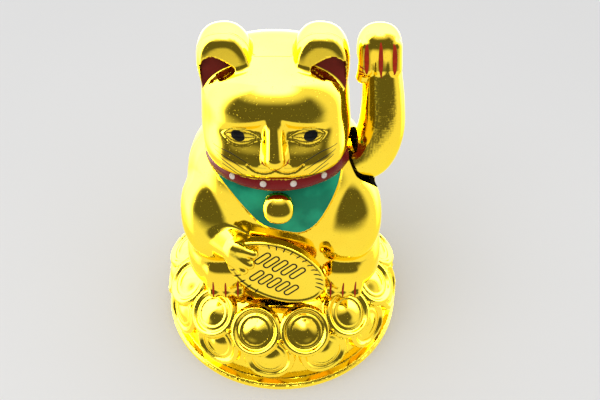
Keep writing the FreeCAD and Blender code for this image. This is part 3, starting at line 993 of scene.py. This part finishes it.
# the line under the nose, and claws on the feet
lines = []
for path, wide in (([(-4.6, 101.6), (-3.2, 100.0), (0, 99.2), (3.2, 100.0), (4.6, 101.6)], 0.32),
                   ([(-0.1, 99.2), (0, 98.2)], 0.2)):
    spots, t = on_cat(smooth_path(path, 6), 30)
    lines.append(brush(cat_field, spots, tapered(t, wide, 0.5)))
for flip in (1, -1):
    for toe in (*TOES, TOES[0] - 4.4):
        spots, t = on_cat([(flip * toe + 0.3, 41.0), (flip * toe, 37.0), (flip * toe - 0.1, 33.6)], 30)
        lines.append(brush(cat_field, spots, 0.42 * np.sin(math.pi * (0.1 + 0.88 * t)) ** 0.8 + 0.05))
stroke("nose_and_claws", lines, red_paint, "root")

# claws and thumb marks on the raised paw
lines = []
for x in FINGERS:
    places = ((10, 47.5), (11, 43), (11, 37.5), (10, 34.0))
    spots, t = row_of([on_arm(x - 0.3, *place) for place in places], 40)
    widths = 0.75 * np.sin(math.pi * (0.04 + 0.9 * t)) ** 0.7 + 0.05
    lines.append(brush(raised_arm, settle(raised_arm, spots, 12, 1.0), widths))
for drop in (0.0, 1.9, 3.8):
    spots, t = row_of([on_arm(-9.5, 7, 38.0 - drop), on_arm(-6.0, 9, 37.0 - drop)], 16)
    lines.append(brush(raised_arm, settle(raised_arm, spots, 12, 1.0), tapered(t, 0.3)))
stroke("raised_claws", lines, red_paint, "arm")

# studs on the collar
caps = []
for x in (-14.3, -4.3, 5.3, 15.0):
    a = math.asin(max(-0.98, min(0.98, x / (COLLAR_R + 2))))
    out = np.array([math.sin(a), -math.cos(a), 0.0])
    flat = out * (COLLAR_R + COLLAR_T)
    spot = np.array([flat]) @ COLLAR_TILT.T + np.asarray(COLLAR_AT)
    spot[:, 0] += leaning(spot[:, 2])
    spot = settle(cat_field, spot + np.array([[0, 0, 0.8]]), 6, 1.0)
    caps.append(dome(spot[0], gradient(cat_field, spot)[0], 1.15, 0.6))
stroke("collar_studs", caps, white_paint, "root")


# a plain geometric pattern on the oval coin: outlined bars in rows, and short ticks round the edge
def on_plate(uv):
    """Points just in front of the oval coin's face, from their places in its plane."""
    flat = np.stack([uv[:, 0], np.full(len(uv), -2.4), uv[:, 1]], 1)
    return flat @ PLATE_FRAME.T + PLATE_AT


def outlined_bar(u, v, way, length, half):
    """A closed outline with round ends, centred at (u, v)."""
    a = math.radians(way)
    along, across = np.array([math.cos(a), math.sin(a)]), np.array([-math.sin(a), math.cos(a)])
    spots = []
    for k in range(33):
        turn_by = 2 * math.pi * k / 32
        end = length / 2 if math.cos(turn_by) > 0 else -length / 2
        spots.append((u, v) + along * (end + half * math.cos(turn_by)) + across * half * math.sin(turn_by))
    return np.array(spots)


marks = []
for row, (v, length, count) in enumerate(((3.6, 4.6, 5), (-4.2, 4.0, 5))):
    for k in range(count):
        loop, t = row_of(outlined_bar(-7.4 + 3.5 * k + 1.6 * row, v, 66, length, 1.0), 60)
        marks.append(brush(oval_coin, on_plate(loop), np.full(60, 0.36)))
for degrees in list(range(8, 128, 10)) + list(range(188, 262, 12)):
    a = math.radians(degrees)
    ends = [(f * PLATE_LONG * math.cos(a), f * PLATE_SHORT * math.sin(a)) for f in (0.80, 0.97)]
    tick, t = row_of(ends, 12)
    marks.append(brush(oval_coin, on_plate(tick), tapered(t, 0.34)))
stroke("coin_pattern", marks, black_paint, "root")

# ---------------------------------------------------------------- finishes for the pieces that CAD shapes
steel = finish_of("bright_steel", (0.55, 0.55, 0.56), (0.46, 0.46, 0.47), 3, 0.28, metallic=1.0, relief=0.3)
nickel = finish_of("nickel_plate", (0.62, 0.60, 0.56), (0.54, 0.52, 0.49), 4, 0.2, metallic=1.0, relief=0.2)
copper = finish_of("enamelled_copper", (0.62, 0.22, 0.08), (0.45, 0.14, 0.05), 1, 0.3,
                   metallic=1.0, relief=0.8, grain=0.2)
laminate = finish_of("board_laminate", (0.03, 0.16, 0.06), (0.02, 0.12, 0.05), 4, 0.4, relief=0.4, grain=0.3)
epoxy = finish_of("chip_epoxy", (0.015, 0.015, 0.016), (0.03, 0.03, 0.03), 1, 0.5, relief=0.5, grain=0.15)
sleeve = finish_of("capacitor_sleeve", (0.02, 0.03, 0.10), (0.015, 0.02, 0.07), 2, 0.35, relief=0.2)
jacket = finish_of("cell_jacket", (0.10, 0.10, 0.11), (0.16, 0.15, 0.13), 12, 0.3, relief=0.1)
white_abs = finish_of("white_abs", (0.62, 0.61, 0.58), (0.55, 0.54, 0.50), 5, 0.45, relief=0.4)
red_pvc = finish_of("red_pvc", (0.40, 0.015, 0.012), (0.30, 0.012, 0.010), 2, 0.4, relief=0.3)
black_pvc = finish_of("black_pvc", (0.012, 0.012, 0.013), (0.02, 0.02, 0.02), 2, 0.4, relief=0.3)
CARRIED = {"bottom_cover": black_abs, "battery_door": black_abs, "movement_frame": black_abs,
           "pendulum_lever": black_abs, "coil_bobbin": white_abs, "aa_cell": jacket, "contact_plate": nickel,
           "contact_spring": nickel, "circuit_board": laminate, "driver_chip": epoxy, "capacitor": sleeve,
           "drive_coil": copper, "wire_red": red_pvc, "wire_black": black_pvc, "pivot_axle": steel,
           "pendulum_magnet": nickel, "counterweight": steel, "cover_screws": steel, "frame_screws": steel,
           "body_screws": steel, "board_screws": steel}
for node, material in CARRIED.items():
    mesh = frame["nodes"][node].data
    mesh.materials.clear()
    mesh.materials.append(material)

# ---------------------------------------------------------------- floor, light and camera
bpy.ops.mesh.primitive_plane_add(size=3.0, location=(0, 0, 0))
floor = bpy.context.object
floor.name = "floor"
pale = finish_of("pale_floor", (0.80, 0.80, 0.80), (0.79, 0.79, 0.79), 200, 0.7, relief=0.0)
pale.node_tree.nodes["Principled BSDF"].inputs["Specular IOR Level"].default_value = 0
floor.data.materials.append(pale)
floor.visible_glossy = False


DEGREES = 57.2958
SOFT_BOX = (9.0, 9.0, 9.0)
SURROUND = (1.0, 1.0, 1.0)
DARK_CARD = (0.12, 0.12, 0.12)
PALE_WALL = (0.807, 0.807, 0.807, 1)


def studio(world):
    """White surroundings; shiny surfaces see a dark card in front and soft boxes above, behind and left."""
    world.use_nodes = True
    tree = world.node_tree
    tree.nodes.clear()
    coords = tree.nodes.new("ShaderNodeTexCoord")
    parts = tree.nodes.new("ShaderNodeSeparateXYZ")
    tree.links.new(coords.outputs["Generated"], parts.inputs[0])
    x, y, z = parts.outputs
    rise = calc(tree, "MULTIPLY", calc(tree, "ARCSINE", z), DEGREES)
    turned = calc(tree, "MULTIPLY", calc(tree, "ARCTAN2", x, calc(tree, "MULTIPLY", y, -1.0)), DEGREES)
    aside = calc(tree, "ABSOLUTE", turned)
    dark = calc(tree, "MULTIPLY", span(tree, rise, -14, 4), span(tree, rise, 44, 66, 1, 0))
    dark = calc(tree, "MULTIPLY", dark, span(tree, aside, 55, 80, 1, 0))
    behind = calc(tree, "MULTIPLY", span(tree, aside, 95, 120), span(tree, rise, -40, -10))
    left = calc(tree, "MULTIPLY", span(tree, turned, -85, -60, 0.8, 0), span(tree, rise, -35, -10))
    bright = calc(tree, "MAXIMUM", calc(tree, "MAXIMUM", behind, span(tree, rise, 68, 82)), left)
    colour = mixed(tree, bright, SURROUND, SOFT_BOX)
    colour = mixed(tree, dark, colour, DARK_CARD)
    path = tree.nodes.new("ShaderNodeLightPath")
    gloss = tree.nodes.new("ShaderNodeBackground")
    tree.links.new(colour, gloss.inputs["Color"])
    soft = tree.nodes.new("ShaderNodeBackground")
    soft.inputs["Color"].default_value = (1, 1, 1, 1)
    soft.inputs["Strength"].default_value = 0.8
    plain = tree.nodes.new("ShaderNodeBackground")
    plain.inputs["Color"].default_value = PALE_WALL
    first = tree.nodes.new("ShaderNodeMixShader")
    # light that gold throws on dull surfaces comes from the plain white alone
    direct = calc(tree, "LESS_THAN", path.outputs["Diffuse Depth"], 0.5)
    tree.links.new(calc(tree, "MULTIPLY", path.outputs["Is Glossy Ray"], direct), first.inputs[0])
    tree.links.new(soft.outputs[0], first.inputs[1])
    tree.links.new(gloss.outputs[0], first.inputs[2])
    second = tree.nodes.new("ShaderNodeMixShader")
    tree.links.new(path.outputs["Is Camera Ray"], second.inputs[0])
    tree.links.new(first.outputs[0], second.inputs[1])
    tree.links.new(plain.outputs[0], second.inputs[2])
    out = tree.nodes.new("ShaderNodeOutputWorld")
    tree.links.new(second.outputs[0], out.inputs["Surface"])


scene = bpy.context.scene
scene.world = bpy.data.worlds.new("studio")
studio(scene.world)
scene.view_settings.view_transform = "Standard"

lamp = bpy.data.objects.new("soft_top", bpy.data.lights.new("soft_top", "AREA"))
lamp.data.size = 0.8
lamp.data.energy = 2.5
lamp.location = (-0.2, -0.3, 0.9)
lamp.rotation_euler = (math.radians(-18), math.radians(-12), 0)
lamp.visible_glossy = False
scene.collection.objects.link(lamp)

camera = bpy.data.objects.new("camera", bpy.data.cameras.new("camera"))
camera.location = (0.00744, -0.23741, 0.30338)
camera.rotation_euler = (math.radians(44), 0, 0)
camera.data.lens = 54
camera.data.sensor_width = 36
scene.collection.objects.link(camera)
scene.camera = camera
